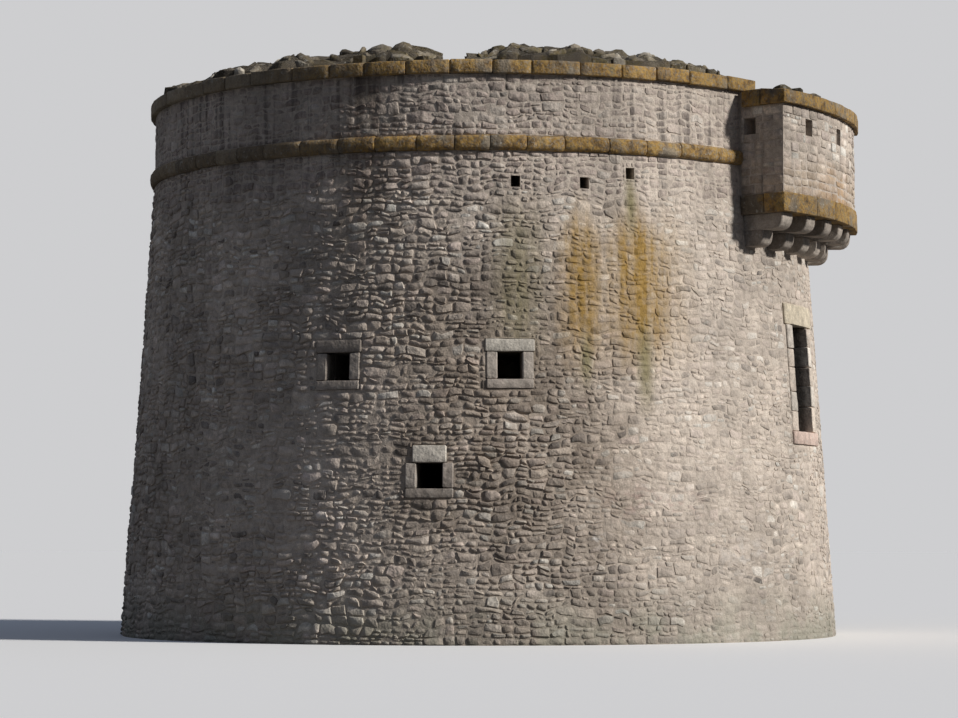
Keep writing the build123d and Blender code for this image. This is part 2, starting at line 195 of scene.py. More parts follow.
def carve(block, holes, smallest):  # what the holes leave of a block
    parts = [block]
    for left, right, foot, head in holes:
        kept = []
        for a, b, c, d in parts:
            if right <= a or left >= b or head <= c or foot >= d:
                kept.append((a, b, c, d))
                continue
            inLeft, inRight = max(a, left), min(b, right)
            beside = ((a, left, c, d), (right, b, c, d), (inLeft, inRight, c, foot), (inLeft, inRight, head, d))
            kept += [p for p in beside if p[1] - p[0] > smallest and p[3] - p[2] > smallest]
        parts = kept
    return parts


def outlineOf(block, style):
    gap = dice.uniform(*style["joint"]) / 2
    a, b, c, d = block[0] + gap, block[1] - gap, block[2] + gap, block[3] - gap
    corners, cuts = ((a, c), (b, c), (b, d), (a, d)), []
    for i, corner in enumerate(corners):
        ends = cutCorner(corners, i, min(dice.uniform(*style["corner"]), 0.36 * (b - a), 0.36 * (d - c)))
        if dice.random() < style["square"]:  # a corner that kept its point
            ends = [bendOf(ends, corner, 0.7)]
        cuts.append(ends)
    return joined(cuts, style["step"])


def nearness(s, z, holes, edges):  # how far a point is from the nearest edge or hole
    left, right, foot, head = edges
    best = min(s - left, right - s, z - foot, head - z)
    for a, b, c, d in holes:
        best = min(best, hypot(max(a - s, s - b, 0), max(c - z, z - d, 0)))
    return best


def wander(points, place, holes, edges, style):  # joints waver, but not at edges and holes
    moved = []
    for s, z in points:
        spot = Vector(place(s, z, 0))
        hold = min(1, max(0, nearness(s, z, holes, edges)) / 0.25)
        broad = noise_vector(spot * 2.1) * style["wander"]
        fine = noise_vector(spot * 7.3) * style["ragged"]
        moved.append((s + hold * (broad.x + fine.x), z + hold * (broad.z + fine.z)))
    return moved


def reliefAt(spot, calm):  # a calm wall lies flatter over some bearings
    flat, rough = calmBearings
    away = abs(degrees(atan2(spot.x, -spot.y)))
    return calm + (1 - calm) * min(1, max(0, (away - flat) / (rough - flat)))


def addStone(batch, outline, place, style):
    count, start = len(outline), len(batch["verts"])
    cs, cz = middleOf(outline)
    halfWide, halfTall = (max(abs(p[k] - (cs, cz)[k]) for p in outline) for k in (0, 1))
    middle = Vector(place(cs, cz, 0))
    relief = reliefAt(middle, style.get("calm", 1))
    rough, deepest = relief * style["rough"], -0.004
    proud = dice.uniform(*style["proud"]) * max(0.3, 0.75 + 0.7 * noise(middle * 0.55)) * relief
    leanS, leanZ = (dice.uniform(-style["tilt"], style["tilt"]) * relief for _ in range(2))
    edge = min(style["edge"], 0.3 * halfTall) * dice.uniform(0.8, 1.25)
    tone, hue = dice.random(), dice.random()
    # the last value of each ring sets how much painted shade it takes near the joint
    for inset, drop, clearOfJointShade in ((0, None, 0), (0.1 * edge, edge, 0.25), (1.1 * edge, 0.1 * edge, 0.8)):
        for s, z in outline:
            s, z = cs + (s - cs) * (1 - inset / halfWide), cz + (z - cz) * (1 - inset / halfTall)
            h = -style["buried"]
            if drop is not None:
                bumps = rough * noise(Vector(place(s, z, 0)) * 9)
                h = max(proud - drop * relief + leanS * (s - cs) + leanZ * (z - cz) + bumps, deepest)
            addPoint(batch, place(s, z, h), tone, hue, clearOfJointShade)
    addPoint(batch, place(cs, cz, proud + dice.uniform(0, 1) * rough), tone, hue, 1)
    addSides(batch, start, count, 3)
    last, top = start + 2 * count, start + 3 * count
    batch["faces"] += [(last + i, last + (i + 1) % count, top) for i in range(count)]
    batch["faces"].append(tuple(range(start, start + count))[::-1])


def layFace(batch, edges, place, style, holes=(), ring=False):  # batch may be a function of the place
    reach = 0.6  # holes further off are left out
    limits = (-endless, endless, *edges[2:]) if ring else edges
    for block in blocksOf(edges, style, ring):
        a, b, c, d = (v + sign * reach for v, sign in zip(block, (-1, 1, -1, 1)))
        near = [h for h in holes if h[0] < b and h[1] > a and h[2] < d and h[3] > c]
        for part in carve(block, near, style["smallest"]):
            if dice.random() < style["missing"]:
                continue
            left, right, foot, head = part
            target = batch((left + right) / 2, (foot + head) / 2) if callable(batch) else batch
            outline = wander(outlineOf(part, style), place, near, limits, style)
            addStone(target, outline, place, style)


# Cut stones: a profile with softened arrises, swept along the stone and capped
def softProfile(corners, edge, step):
    cuts = []
    for i, corner in enumerate(corners):
        ends = cutCorner(corners, i, edge)
        cuts.append((ends[0], bendOf(ends, corner, 0.42), ends[1]))
    return joined(cuts, step)


def addSwept(batch, profile, stations, spot, style, closed=False):
    cr, cz = middleOf(profile)
    jogR, jogZ = (dice.uniform(-style["jog"], style["jog"]) for _ in range(2))
    tone, hue = dice.random(), dice.uniform(*style.get("hues", (0, 1)))
    start, rings = len(batch["verts"]), len(stations)
    for k, u in enumerate(stations):
        pull = style["edge"] if k in (0, rings - 1) and not closed else 0
        for r, z in profile:
            here = Vector(spot(u, r, z))
            rough = style["rough"] * (noise(here * 4) + 0.4 * noise(here * 17))
            grow = 1 + (rough - pull) / (hypot(r - cr, z - cz) or 1)
            moved = spot(u, cr + (r - cr) * grow + jogR, cz + (z - cz) * grow + jogZ)
            addPoint(batch, moved, tone, hue, 0.3 if pull else 0.9)
    if closed:
        addSides(batch, start, len(profile), rings, True)
    else:
        addTube(batch, start, len(profile), rings)


def stationsAlong(low, high, joint, edge, step):
    low, high = low + joint / 2, high - joint / 2
    inner = high - low - 2 * edge
    steps = max(1, ceil(inner / step))
    return [low, *[low + edge + inner * k / steps for k in range(steps + 1)], high]


def squareSpot(bearing, follow=True):  # square to one bearing, with the wall's roundness if it follows
    a = radians(bearing)

    def spot(u, r, z):
        out = r - (u * u / (2 * wallRadius(z)) if follow else 0)
        return out * sin(a) + u * cos(a), -out * cos(a) + u * sin(a), z

    return spot


def addArcs(batch, corners, joints, radius, style):  # a course of cut stones between bearings
    profile = softProfile(corners, style["edge"], style["step"])
    sizes = [style[size] / radius for size in ("joint", "edge", "step")]
    for low, high in zip(joints, joints[1:]):
        stations = stationsAlong(radians(low), radians(high), *sizes)
        addSwept(batch, profile, stations, atBearing, style)


def unevenJoints(low, high, mean):
    joints = [low]
    for part in shares(high - low, 0.8 * mean, 1.2 * mean):
        joints.append(joints[-1] + part)
    return joints


def rounding(nose, foot, bend, steps):  # a nose's lower quarter, from its foot
    turns = [radians(90 * k / steps) for k in range(steps + 1)]
    return [(nose - bend + bend * sin(a), foot + bend - bend * cos(a)) for a in turns]


def boxCorners(inner, outer, foot, head, fall=0):  # the top falls outwards
    return [(inner, foot), (outer, foot), (outer, head - fall), (inner, head)]


# Node trees: a node goes into the tree of the sockets that it takes
def addNode(kind, inputs=(), tree=None, **settings):
    inputs = dict(inputs)
    tree = tree or next(value.id_data for value in inputs.values() if isinstance(value, NodeSocket))
    made = tree.nodes.new("ShaderNode" + kind)
    for key, value in settings.items():
        setattr(made, key, value)
    for key, value in inputs.items():
        if isinstance(value, NodeSocket):
            tree.links.new(value, made.inputs[key])
        else:
            made.inputs[key].default_value = value
    return made


def mathOf(operation, a, b=0):
    return addNode("Math", {0: a, 1: b}, operation=operation).outputs[0]


def product(first, *others):
    for other in others:
        first = mathOf("MULTIPLY", first, other)
    return first


def noiseOf(where, scale, detail=3, rough=0.6):
    return addNode("TexNoise", {"Vector": where, "Scale": scale, "Detail": detail, "Roughness": rough}).outputs[0]


def stretched(where, x, y, z):
    return addNode("Mapping", {"Vector": where, "Scale": (x, y, z)}).outputs[0]


def fade(value, low, high, bottom=0, top=1):
    inputs = {0: value, 1: low, 2: high, 3: bottom, 4: top}
    return addNode("MapRange", inputs, interpolation_type="SMOOTHSTEP").outputs[0]


def bumpAt(value, centre, half):  # 1 at the centre and 0 beyond the half width
    return fade(mathOf("ABSOLUTE", mathOf("SUBTRACT", value, centre)), 0, half, 1, 0)


def mixed(amount, first, second, how="MIX"):
    first, second = (colour if isinstance(colour, NodeSocket) else (*colour, 1) for colour in (first, second))
    return addNode("Mix", {0: amount, 6: first, 7: second}, data_type="RGBA", blend_type=how).outputs[2]


def greyOf(value):
    return addNode("CombineColor", {0: value, 1: value, 2: value}).outputs[0]


def shaded(colour, shade):
    return mixed(1, colour, greyOf(shade), "MULTIPLY")


def rampOf(value, stops):
    made = addNode("ValToRGB", {0: value})
    band = made.color_ramp
    while len(band.elements) < len(stops):
        band.elements.new(0.5)
    for element, (position, colour) in zip(band.elements, stops):
        element.position = position
        element.color = (*colour, 1)
    return made.outputs[0]


def wallPlace(tree):  # the point, its bearing, that without its side, its radius and its height
    where = addNode("TexCoord", tree=tree).outputs["Object"]
    x, y, z = addNode("SeparateXYZ", {0: where}).outputs
    bearing = product(mathOf("ARCTAN2", x, product(y, -1)), degrees(1))
    radius = mathOf("SQRT", mathOf("ADD", product(x, x), product(y, y)))
    return where, bearing, mathOf("ABSOLUTE", bearing), radius, z


weatherAndShade = {
    "damp": (0.3, 0.3, 0.24), "dampTo": 1.1, "streak": (0.14, 0.12, 0.11),
    "streaksOnWall": (5.9, 7.9),  # heights between which dark streaks grow
    "streaksOnParapet": (7.75, 8.85),
    "openingShade": (0.35, 0.35, 0.35),  # painted shade inside openings and drain outlets
    "dull": (0.58, 0.55, 0.52),  # the stretch below the drains is greyer
    "dullFrom": (34, 50), "dullTo": (92, 74), "shadeAndDampRun": (86, 8), "ochre": (0.39, 0.248, 0.078),
    "ochreDrains": ((51.2, 5.2, 1), (41.6, 7, 1.1), (35.5, 7, 0.35), (46, 15, 0.22)),  # bearing, half, strength
    "ochreFoot": (3.9, 5.2), "ochreHead": (7.25, 6.1), "moss": (0.25, 0.22, 0.11), "mossDrain": (61, 6),
    "drips": ((40.7, 2.2, 4.3, 1), (42.3, 1.6, 6.9, 0.7), (50.6, 1.5, 4.4, 0.6)),  # bearing, half, height, half
    "chalk": (0.72, 0.69, 0.66), "rose": (0.5, 0.33, 0.3),
    "smears": (  # faded, low on one side: tint, bearing, half, height, half, strength
        ("chalk", -49.5, 3.6, 1.62, 0.22, 0.75),
        ("chalk", -22, 11, 1.35, 0.5, 0.4),
        ("rose", -39, 12, 2.2, 0.42, 0.5),
    ),
}


# stains, damp and streaks, with painted shade inside openings and along a dark run
def weatheredAndShaded(colour, place, stains, band):
    where, bearing, turned, radius, z = place
    small = noiseOf(where, 1.7, 4)
    patches = fade(noiseOf(stretched(where, 1, 1, 0.8), 0.42, 4), 0.3, 0.7, -0.2, 0.16)
    colour = shaded(colour, mathOf("ADD", patches, fade(small, 0.3, 0.7, 0.9, 1.1)))
    lines = noiseOf(stretched(where, 5.5, 5.5, 0.32), 1.5, 4)
    under = mathOf("MAXIMUM", fade(z, *weatherAndShade["streaksOnWall"]), fade(z, *weatherAndShade["streaksOnParapet"], 0.25))
    # painted shade inside openings: on reveals set back behind the wall's face, and in the drain outlets
    face = mathOf("SUBTRACT", tower["baseRadius"], product(z, tower["batter"]))
    within = product(fade(mathOf("SUBTRACT", face, radius), 0.03, 0.16), fade(radius, 3.62, 3.72))
    outlets = product(fade(z, 7.5, 7.45), fade(turned, 24, 26), fade(radius, 5, 5.1))
    layers = [
        (product(fade(lines, 0.48, 0.68), under, band), "streak"),
        (product(fade(z, weatherAndShade["dampTo"], 0), fade(small, 0.38, 0.6, 0.1, 0.7)), "damp"),
        (product(within, mathOf("MAXIMUM", fade(z, 7, 6.9), outlets)), "openingShade", "MULTIPLY"),
    ]
    if stains:
        dull = product(fade(turned, *weatherAndShade["dullFrom"]), fade(turned, *weatherAndShade["dullTo"]))
        dull = product(dull, fade(small, 0.3, 0.65, 1, 0.6), fade(z, 6.9, 4.7, 0.1), fade(z, 0.9, 2.6, 0.55))
        # a dark vertical run below the string course, where the sunlit side turns away: partly painted shade, partly
        # damp
        run = product(bumpAt(turned, *weatherAndShade["shadeAndDampRun"]), fade(z, 4.7, 7.2), fade(lines, 0.35, 0.55, 0.3, 0.9))
        spread, ochre = fade(z, 7.1, 6.1, 0.35), 0  # a streak widens as it runs down
        for at, half, strength in weatherAndShade["ochreDrains"]:
            ochre = mathOf("ADD", ochre, product(bumpAt(turned, at, product(spread, half)), strength))
        long = product(fade(z, *weatherAndShade["ochreFoot"]), fade(z, *weatherAndShade["ochreHead"]), fade(lines, 0.36, 0.6, 0.6))
        ochre = product(ochre, long, fade(noiseOf(where, 9), 0.3, 0.62, 0.65))
        layers += [(dull, "dull", "MULTIPLY"), (run, "dull", "MULTIPLY"), (ochre, "ochre")]
        for at, half, height, tall in weatherAndShade["drips"]:
            layers.append((product(bumpAt(turned, at, half), bumpAt(z, height, tall), 0.85), "moss"))
        layers.append((product(bumpAt(turned, *weatherAndShade["mossDrain"]), long, 0.6), "moss"))
        ragged = fade(noiseOf(stretched(where, 1, 1, 1.6), 3.3, 4), 0.48, 0.62)
        for tint, at, half, height, tall, strength in weatherAndShade["smears"]:
            layers.append((product(bumpAt(bearing, at, half), bumpAt(z, height, tall), ragged, strength), tint))
    for amount, tint, *how in layers:
        colour = mixed(amount, colour, weatherAndShade[tint], *how)
    return colour


def newMaterial(name, roughness, specular):
    made = bpy.data.materials.new(name)
    made.use_nodes = True
    shader = made.node_tree.nodes["Principled BSDF"]
    shader.inputs["Roughness"].default_value = roughness
    shader.inputs["Specular IOR Level"].default_value = specular
    return made, made.node_tree, shader


def finishSurface(shader, colour, heights):  # its colour, and bumps laid one over the other
    links, normal = shader.id_data.links, None
    links.new(colour, shader.inputs["Base Color"])
    for height, distance in heights:
        bump = addNode("Bump", {"Height": height, "Distance": distance, "Strength": 1})
        if normal:
            links.new(normal, bump.inputs["Normal"])
        normal = bump.outputs[0]
    links.new(normal, shader.inputs["Normal"])


def stoneSpot(where):  # each stone has its own piece of the pattern
    tint = addNode("Attribute", tree=where.id_data, attribute_name="stone").outputs["Color"]
    tone, hue, clearOfJointShade = addNode("SeparateColor", {0: tint}).outputs
    shift = addNode("CombineXYZ", {0: product(hue, 31), 1: product(tone, 47), 2: hue}).outputs[0]
    return tone, hue, clearOfJointShade, addNode("VectorMath", {0: where, 1: shift}, operation="ADD").outputs[0]


def stoneMaterial(name, palette, toneRange, edgeShadeDepth, band, stains=False, smeared=0, grain=1, lichen=None, rust=None):
    made, tree, shader = newMaterial(name, 0.92, 0.25)
    place = wallPlace(tree)
    where, bearing, turned, _, z = place
    tone, hue, clearOfJointShade, own = stoneSpot(where)
    clouds, specks = noiseOf(own, 7, 4), noiseOf(own, 38, 3, 0.7)
    shade = product(fade(tone, 0, 1, *toneRange), fade(clouds, 0.25, 0.75, 0.72, 1.22))
    # stones darken toward their joints: painted shade, with some joint dirt
    shade = product(shade, fade(specks, 0.3, 0.7, 0.8, 1.14), fade(clearOfJointShade, 0, 0.8, 1 - edgeShadeDepth))
    colour = shaded(rampOf(hue, palette), shade)
    crust = fade(noiseOf(own, 15, 5, 0.65), 0.58, 0.66, 0, 0.55)
    colour = mixed(crust, colour, (0.5, 0.49, 0.44))
    if rust:
        blotches = fade(noiseOf(where, 2.3, 4), 0.35, 0.6, 0.15)
        colour = mixed(product(fade(z, rust["top"], rust["foot"]), blotches, rust["low"]), colour, rust["dull"])
        patch = product(fade(z, rust["top"], rust["foot"] + 0.2), bumpAt(bearing, rust["bearing"], rust["half"]))
        colour = mixed(product(patch, blotches, rust["patch"]), colour, rust["bright"])
    if smeared:  # mortar wiped over the stones
        calm = fade(turned, *calmBearings[::-1], 0, 0.09)
        smear = fade(mathOf("ADD", noiseOf(where, 1.6, 5, 0.65), calm), 0.46, 0.6, 0, smeared)
        colour = mixed(product(smear, fade(clouds, 0.35, 0.6, 0.3)), colour, (0.61, 0.53, 0.458))
    if lichen:
        growth = fade(noiseOf(where, lichen["scale"], 5, 0.62), *lichen["spread"])
        north = fade(turned, 78, 108, 1, lichen["north"])
        specked = fade(noiseOf(where, 23, 4, 0.7), 0.4, 0.52, 0.25)
        tints = rampOf(noiseOf(where, 6.5, 5, 0.72), lichen["tints"])
        colour = mixed(product(growth, north, specked, lichen["strength"]), colour, tints)
    colour = weatheredAndShaded(colour, place, stains, band)
    chips = addNode("TexVoronoi", {"Vector": own, "Scale": 19}, feature="F1").outputs["Distance"]
    finishSurface(shader, colour, ((clouds, 0.035 * grain), (chips, 0.006 * grain), (specks, 0.008 * grain)))
    return made


# Palettes: each stone takes one colour along its row
rubblePalette = (
    (0, (0.3, 0.265, 0.24)), (0.1, (0.46, 0.4, 0.35)), (0.34, (0.62, 0.53, 0.455)), (0.55, (0.7, 0.61, 0.52)),
    (0.74, (0.67, 0.565, 0.5)), (0.88, (0.77, 0.7, 0.62)), (1, (0.8, 0.765, 0.7)),
)
parapetPalette = (
    (0, (0.38, 0.315, 0.28)), (0.3, (0.47, 0.39, 0.345)), (0.6, (0.52, 0.435, 0.385)), (0.85, (0.56, 0.49, 0.43)),
    (1, (0.6, 0.54, 0.48)),
)
dressedPalette = ((0, (0.4, 0.345, 0.3)), (0.5, (0.56, 0.495, 0.43)), (1, (0.72, 0.67, 0.585)))
bandPalette = ((0, (0.2, 0.165, 0.125)), (0.5, (0.27, 0.22, 0.16)), (1, (0.34, 0.285, 0.215)))
flagPalette = ((0, (0.3, 0.265, 0.23)), (0.5, (0.42, 0.37, 0.315)), (1, (0.5, 0.45, 0.38)))
lintelPalette = ((0, (0.6, 0.52, 0.4)), (1, (0.68, 0.6, 0.47)))
sillPalette = ((0, (0.56, 0.43, 0.37)), (1, (0.64, 0.51, 0.44)))
capPalette = (
    (0, (0.11, 0.095, 0.073)), (0.4, (0.2, 0.168, 0.128)), (0.8, (0.33, 0.285, 0.22)), (1, (0.55, 0.5, 0.42)),
)
bandLichen = {
    "scale": 1.9, "spread": (0.34, 0.5), "strength": 0.92, "north": 0.15,
    "tints": (
        (0.3, (0.06, 0.05, 0.03)), (0.4, (0.165, 0.1, 0.04)), (0.48, (0.33, 0.195, 0.055)),
        (0.55, (0.47, 0.29, 0.085)), (0.62, (0.35, 0.235, 0.09)), (0.72, (0.24, 0.21, 0.12)),
    ),
}
capLichen = {
    "scale": 3.1, "spread": (0.42, 0.62), "strength": 0.75, "north": 0.4,
    "tints": ((0.2, (0.06, 0.055, 0.03)), (0.5, (0.15, 0.12, 0.05)), (0.8, (0.34, 0.22, 0.07))),
}
galleryRust = {
    "top": 7.95, "foot": 7.25, "low": 0.5, "dull": (0.42, 0.29, 0.16), "bearing": -1, "half": 10, "patch": 0.75,
    "bright": (0.56, 0.36, 0.2),
}
stones = {  # slot, palette, tones, painted shade and dirt at stone edges, strength of streaks, and the rest
    "rubbleStone": ("rubble_masonry", rubblePalette, (0.8, 1.18), 0.25, 0.3, {"stains": True, "smeared": 0.7}),
    "parapetStone": ("parapet_masonry", parapetPalette, (0.85, 1.12), 0.2, 0.75, {"stains": True, "smeared": 0.6}),
    "lintelStone": ("dressed_stone", lintelPalette, (0.9, 1.1), 0.3, 0.25, {"grain": 0.6}),
    "sillStone": ("dressed_stone", sillPalette, (0.9, 1.1), 0.3, 0.25, {"grain": 0.6}),
    "jambStone": ("dressed_stone", rubblePalette[1:6], (0.75, 1.05), 0.4, 0.3, {"grain": 0.8}),
    "galleryStone": ("gallery_masonry", rubblePalette[2:], (0.8, 1.12), 0.35, 0.3, {"rust": galleryRust}),
    "dressedStone": ("dressed_stone", dressedPalette, (0.85, 1.12), 0.3, 0.25, {"grain": 0.6}),
    "lichenStone": ("banded_stone", bandPalette, (0.86, 1.08), 0.35, 0.2, {"lichen": bandLichen}),
    "roughCap": ("rough_capping", capPalette, (0.7, 1.25), 0.5, 0.2, {"lichen": capLichen}),
    "pavingStone": ("paving_stone", flagPalette, (0.78, 1.15), 0.45, 0.1, {"grain": 0.7}),
}
materials = {name: (slot, stoneMaterial(name, *values, **rest)) for name, (slot, *values, rest) in stones.items()}

mortar = {
    "outside": ((0.3, (0.46, 0.395, 0.34)), (0.5, (0.6, 0.52, 0.445)), (0.7, (0.69, 0.61, 0.53))),
    "inside": ((0.35, (0.42, 0.39, 0.33)), (0.5, (0.62, 0.6, 0.55)), (0.7, (0.7, 0.69, 0.65))),  # limewash
}
limeMortar, tree, shader = newMaterial("limeMortar", 0.95, 0.15)
place = wallPlace(tree)
where, _, _, radius, z = place
sand, lumps = noiseOf(where, 60, 3, 0.7), noiseOf(where, 9, 4)
colour = weatheredAndShaded(rampOf(lumps, mortar["outside"]), place, True, 0.35)
inside = product(fade(radius, 3.72, 3.66), fade(z, 7.1, 7))
colour = mixed(inside, colour, rampOf(noiseOf(where, 1.3, 5), mortar["inside"]))
finishSurface(shader, shaded(colour, fade(sand, 0.3, 0.7, 0.82, 1.15)), ((lumps, 0.03), (sand, 0.004)))


def woodMaterial(name, scale, tints):
    made, tree, shader = newMaterial(name, 0.8, 0.2)
    tone, _, _, own = stoneSpot(addNode("TexCoord", tree=tree).outputs["Object"])
    rings = noiseOf(stretched(own, *scale), 2.2, 5, 0.65)
    fine = noiseOf(stretched(own, *[v * 4 for v in scale]), 2.5, 3)
    shade = product(fade(fine, 0.3, 0.7, 0.75, 1.15), fade(tone, 0, 1, 0.75, 1.2))
    finishSurface(shader, shaded(rampOf(rings, tints), shade), ((rings, 0.006), (fine, 0.002)))
    return made


plankTints = ((0.3, (0.13, 0.105, 0.085)), (0.5, (0.22, 0.185, 0.15)), (0.7, (0.3, 0.265, 0.22)))
joistTints = ((0.3, (0.1, 0.075, 0.055)), (0.5, (0.17, 0.13, 0.1)), (0.7, (0.24, 0.195, 0.15)))
materials["plankWood"] = ("floor_timber", woodMaterial("plankWood", (9, 0.6, 9), plankTints))
joistWood = woodMaterial("joistWood", (0.6, 9, 9), joistTints)
print("materials made")

sharpFrom = (42, 50)  # degrees, for rough stones and for cut ones
triangles = {}


def addObject(name, data):
    made = bpy.data.objects.new(name, data)
    bpy.context.scene.collection.objects.link(made)
    return made


def finishPiece(name, batch, kind, replaced=None, sharp=None):
    slot, material = materials[kind]
    mesh = bpy.data.meshes.new(name)
    mesh.from_pydata(batch["verts"], [], batch["faces"])
    work = bmesh.new()
    work.from_mesh(mesh)
    bmesh.ops.recalc_face_normals(work, faces=work.faces)
    work.to_mesh(mesh)
    work.free()
    mesh.color_attributes.new("stone", "FLOAT_COLOR", "POINT").data.foreach_set("color", batch["tones"])
    mesh.shade_smooth()
    mesh.set_sharp_from_angle(angle=radians(sharp or sharpFrom[bool(replaced)]))
    mesh.materials.append(material)
    piece = addObject(name, mesh)
    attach(piece, "root")
    if replaced:
        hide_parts(replaced)
    mesh.calc_loop_triangles()
    triangles[name] = len(mesh.loop_triangles)
    for gathered in batch.values():
        gathered.clear()


# Openings and cut stones that the rubble is laid round; each stone is a half width, a foot and a head
doorStones = ((0.725, 5.15, 5.5), (0.65, 3.4, 5.15), (0.675, 3.18, 3.4))
loops = (
    {
        "bearings": (-89.3, -62.5, 62.5, 89.3),
        "mouth": (0.19, 4.295),  # half width and middle height
        "stones": ((0.39, 4.51, 4.71), (0.37, 4.08, 4.51), (0.37, 3.93, 4.08)),  # lintel, jambs, sill
    },
    {
        "bearings": (-74.6, 74.6),
        "mouth": (0.2, 2.595),
        "stones": ((0.27, 2.79, 3.06), (0.38, 2.4, 2.79), (0.38, 2.25, 2.4)),
    },
)
corbelBearings = [tower["cheekMiddle"] * (2 * i / 5 - 1) for i in range(6)]
corbelStone = (0.155, 6.32, 6.86)
drains = ((42.2, 7.26), (50.2, 7.08), (61.4, 7.08))  # bearing and foot of the outlet
drainWide, drainTall = 0.15, 0.18


def holeAt(bearing, half, foot, head):
    half *= meanRadius / wallRadius((foot + head) / 2)
    return arc(bearing) - half, arc(bearing) + half, foot, head


wallHoles = [holeAt(0, *stone) for stone in doorStones]
wallHoles += [holeAt(b, *stone) for loop in loops for b in loop["bearings"] for stone in loop["stones"]]
wallHoles += [holeAt(b, *corbelStone) for b in corbelBearings]
wallHoles += [holeAt(side * b, drainWide / 2, foot, foot + drainTall) for side in (-1, 1) for b, foot in drains]
for low, high, foot in ((-18.95, -14.8, 6.85), (14.8, 18.95, 6.85), (-14.8, 14.8, 7.05)):  # cheeks and recess
    wallHoles.append((*span(low, high), foot, 9))

rubble = {
    "course": (0.25, 0.4), "block": (0.3, 0.9), "tallest": 0.19, "thinnest": 0.065, "longest": 0.37, "slimmest": 2.8,
    "splitChance": 0.5, "joint": (0.01, 0.034), "corner": (0.012, 0.055), "step": 0.15,
    "square": 0.45,  # share of corners that aren't broken off
    "wander": 0.085, "ragged": 0.05, "proud": (0.008, 0.036), "tilt": 0.1, "edge": 0.014, "rough": 0.014,
    "buried": 0.02, "smallest": 0.045, "missing": 0.012,
}
bayEnds = {"lower_wall": (60, 120), "upper_wall": (62.5, 121.25), "parapet": (72.27, 126.13)}


def bayOf(s, z):  # the node whose face a stone lies on
    bearing = (degrees(s / meanRadius) + 180) % 360 - 180
    away, hand = abs(bearing), "right" if bearing > 0 else "left"
    wall = "lower_wall" if z < tower["ledge"] else "upper_wall" if z < tower["wallHead"] else "parapet"
    first, second = bayEnds[wall]
    if wall == "lower_wall":
        return "lower_wall_" + ("front_" if away < first else "" if away < second else "back_") + hand
    if away < galleryHalf and z < tower["wallHead"] + 0.2:
        return "wall_beside_doorway_" + hand if z < tower["doorHead"] else "wall_over_doorway"
    return f"{wall}_{hand}_" + ("front" if away < first else "middle" if away < second else "back")


stoneBatches = {}


def batchOfBay(s, z):
    return stoneBatches.setdefault(bayOf(s, z), newBatch())


half = pi * meanRadius
calmRubble = {**rubble, "calm": 0.5}  # the share of relief that is left where it is flattest
layFace(batchOfBay, (-half, half, 0, stringFoot), roundFace(wallRadius), calmRubble, wallHoles, True)
print("wall stones laid")

parapetRubble = {
    **rubble, "longest": 0.42, "proud": (0.003, 0.018), "joint": (0.006, 0.018), "tilt": 0.05, "rough": 0.008,
}
edges = (*span(*around), stringHead, copingFoot)
layFace(batchOfBay, edges, roundFace(tower["parapetRadius"]), parapetRubble)

wellRubble = {**rubble, "course": (0.3, 0.42), "longest": 0.55, "tallest": 0.26}
edges = (*span(*aroundTop, well), platform, copingFoot)
stepHole = (*span(*around, well), 7, tower["stepHead"])
layFace(batch, edges, roundFace(well, -1, well), wellRubble, [stepHole])

for bay, gathered in stoneBatches.items():
    finishPiece(bay + "_stones", gathered, "parapetStone" if bay.startswith("parapet") else "rubbleStone")
finishPiece("parapet_inner_stones", batch, "parapetStone")
print("rubble pieces made")

# Gallery walls
galleryRubble = {
    **rubble, "course": (0.26, 0.34), "block": (0.3, 0.6), "longest": 0.42, "splitChance": 0.12, "wander": 0.02,
    "ragged": 0.012, "joint": (0.008, 0.016), "corner": (0.01, 0.028), "proud": (0.008, 0.024), "tilt": 0.04,
}
galleryLoops = {"bearings": (-11.4, 0, 11.4), "cheek": 5.804, "half": 0.115, "ends": (8.14, 8.41)}


def galleryLoop(s):
    return s - galleryLoops["half"], s + galleryLoops["half"], *galleryLoops["ends"]


foot, head = tower["galleryFoot"], tower["galleryCoping"]
outside, inside = tower["galleryRadius"], tower["galleryInside"]
for radius, turn, reach in ((outside, 1, galleryHalf), (inside, -1, recessHalf)):
    holes = [galleryLoop(arc(b, radius)) for b in galleryLoops["bearings"]]
    layFace(batch, (*span(-reach, reach, radius), foot, head), roundFace(radius, turn, radius), galleryRubble, holes)
finishPiece("gallery_front_stones", batch, "galleryStone")
for side, hand in ((-1, "left"), (1, "right")):
    holes = [galleryLoop(galleryLoops["cheek"])]
    edges = (tower["parapetRadius"] + 0.035, outside, foot, head)
    layFace(batch, edges, radialFace(side * galleryHalf, side), galleryRubble, holes)
    holes.append((copingRadius, 7, head, 9))  # the gallery's coping
    edges = (well, inside, platform, copingFoot)
    layFace(batch, edges, radialFace(side * recessHalf, -side), galleryRubble, holes)
    finishPiece(f"gallery_cheek_{hand}_stones", batch, "galleryStone")
print("gallery walls made")

# Bands and copings
cutStone = {"edge": 0.012, "joint": 0.007, "step": 0.13, "jog": 0.004, "rough": 0.012}
bands = {
    "stringStone": 6.8, "copingStone": 7.4, "stepStone": 8.5,  # mean lengths in degrees
    "stringBend": 0.08,
    "fall": 0.05,  # of a coping's top
    "gallery_band": (18.93, (6.11, 6.52), 6),  # half its bearings, radii in front, and of the joints beside
    "gallery_coping": (19.2, (6.065, 6.55), 5.9),
    "bandSide": 6.1, "copingSides": (5.7, 6.055),  # radii along the cheeks
    "measured": 6.5,
}

tail, nose, foot, head = tower["string"]
curve = rounding(nose, foot, bands["stringBend"], 3)
corners = [(tail, foot), *curve, *((r, foot + head - z) for r, z in curve[::-1]), (tail, head)]
addArcs(batch, corners, unevenJoints(*around, bands["stringStone"]), nose, {**cutStone, "jog": 0.008})
finishPiece("string_course_stones", batch, "lichenStone", "string_course")

